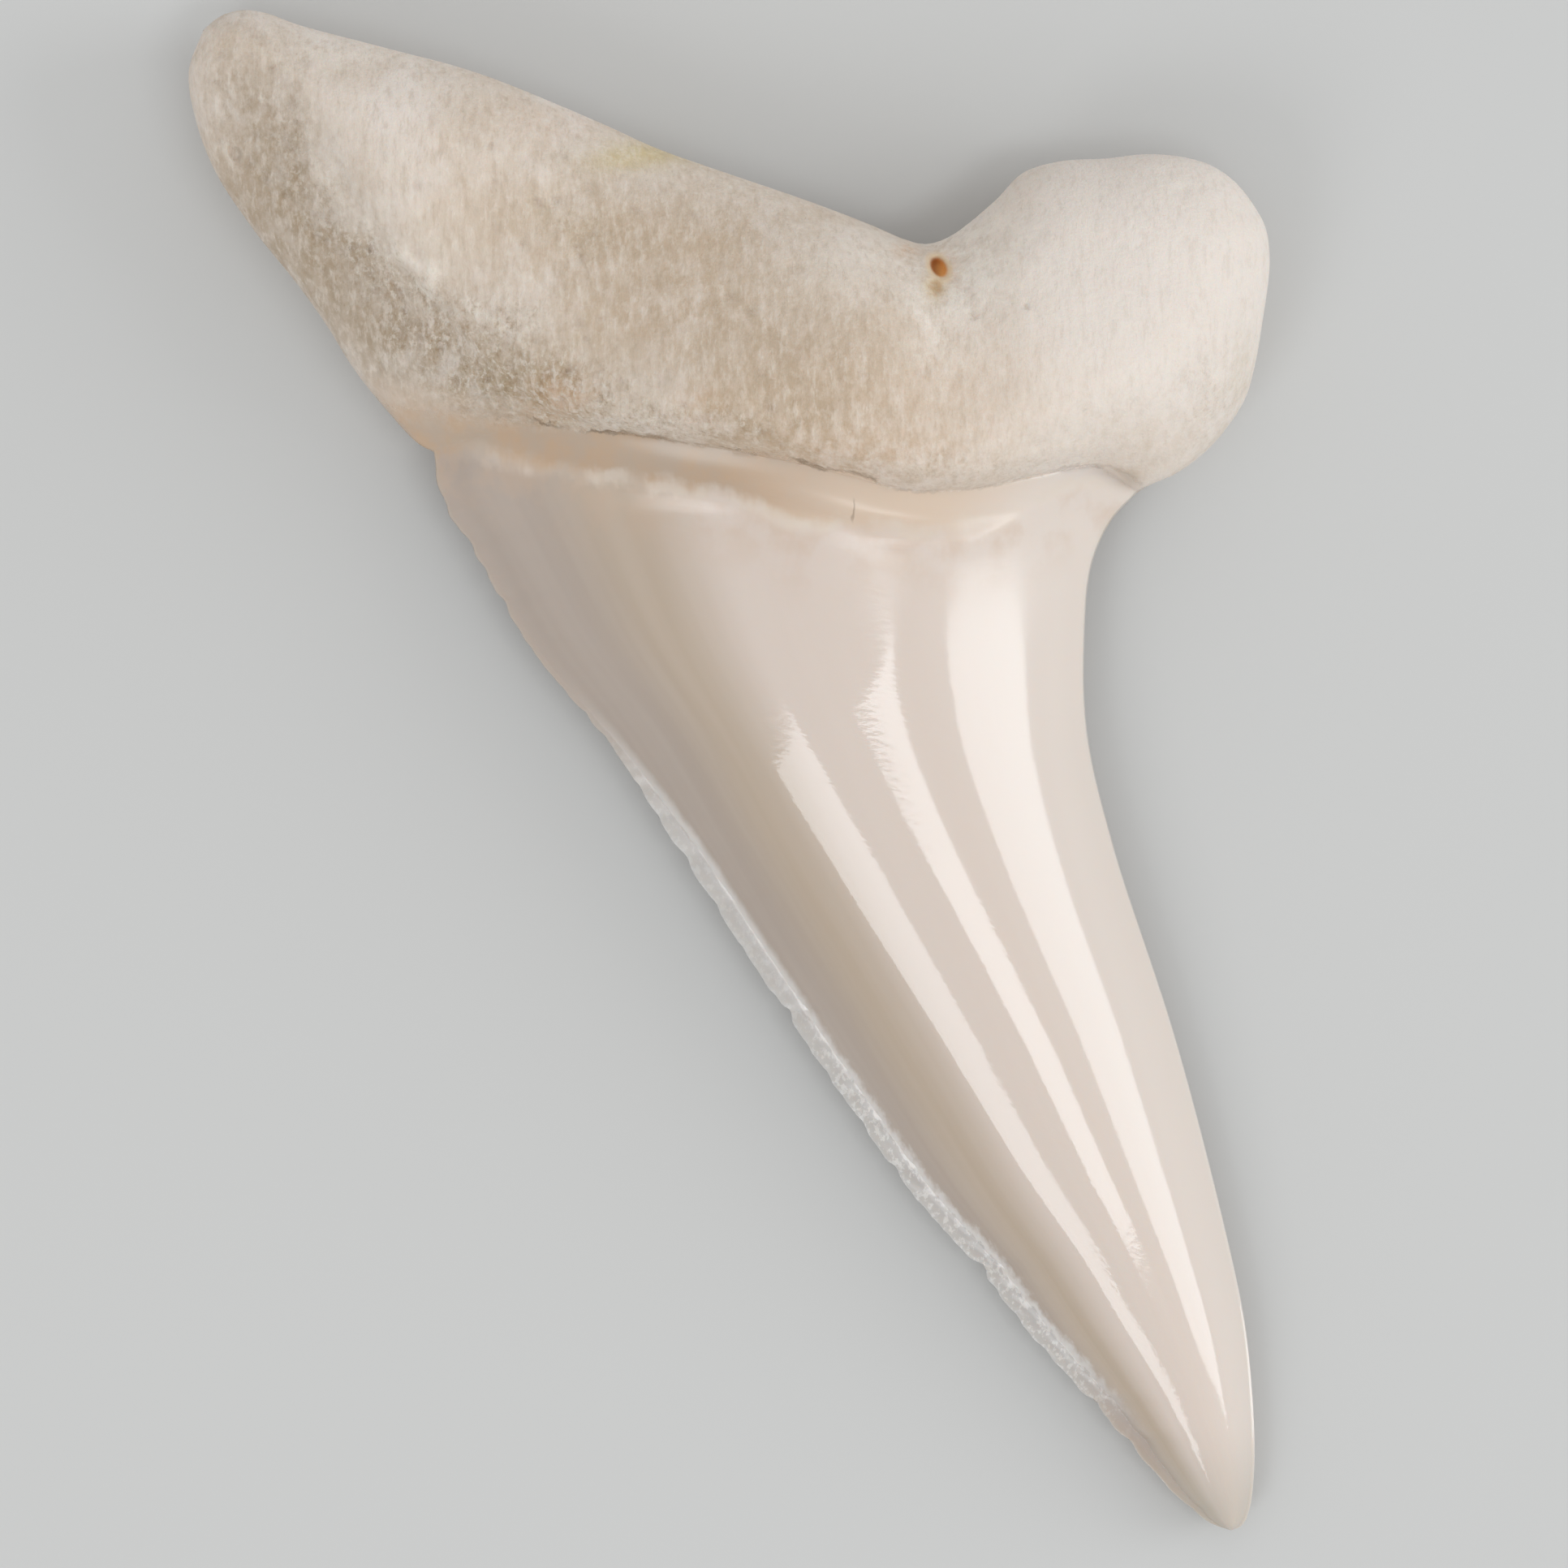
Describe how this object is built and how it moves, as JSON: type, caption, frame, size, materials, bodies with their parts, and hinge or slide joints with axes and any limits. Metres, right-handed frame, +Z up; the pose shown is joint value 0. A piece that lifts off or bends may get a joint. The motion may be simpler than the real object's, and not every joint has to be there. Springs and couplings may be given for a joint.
{
  "type": "fossil mako shark tooth",
  "caption": "Large fossil mako shark tooth in one piece: a tall blade-like crown with a worn edge, and a thick root with two unequal lobes, lying on its flat face.",
  "frame": {"origin": "centre of the tooth's footprint, on the surface it lies on", "axes": "+Z up from that surface, through the domed lingual face; -Y towards the crown's tip; -X towards the root's long lobe"},
  "size_m": [0.0378, 0.0534, 0.0106],
  "materials": {
    "tooth": "ivory tooth enamel, smooth and glossy on the crown; chalky, finely porous cream and tan root"
  },
  "bodies": {
    "root": {"tooth": "tooth"}
  },
  "joints": []
}
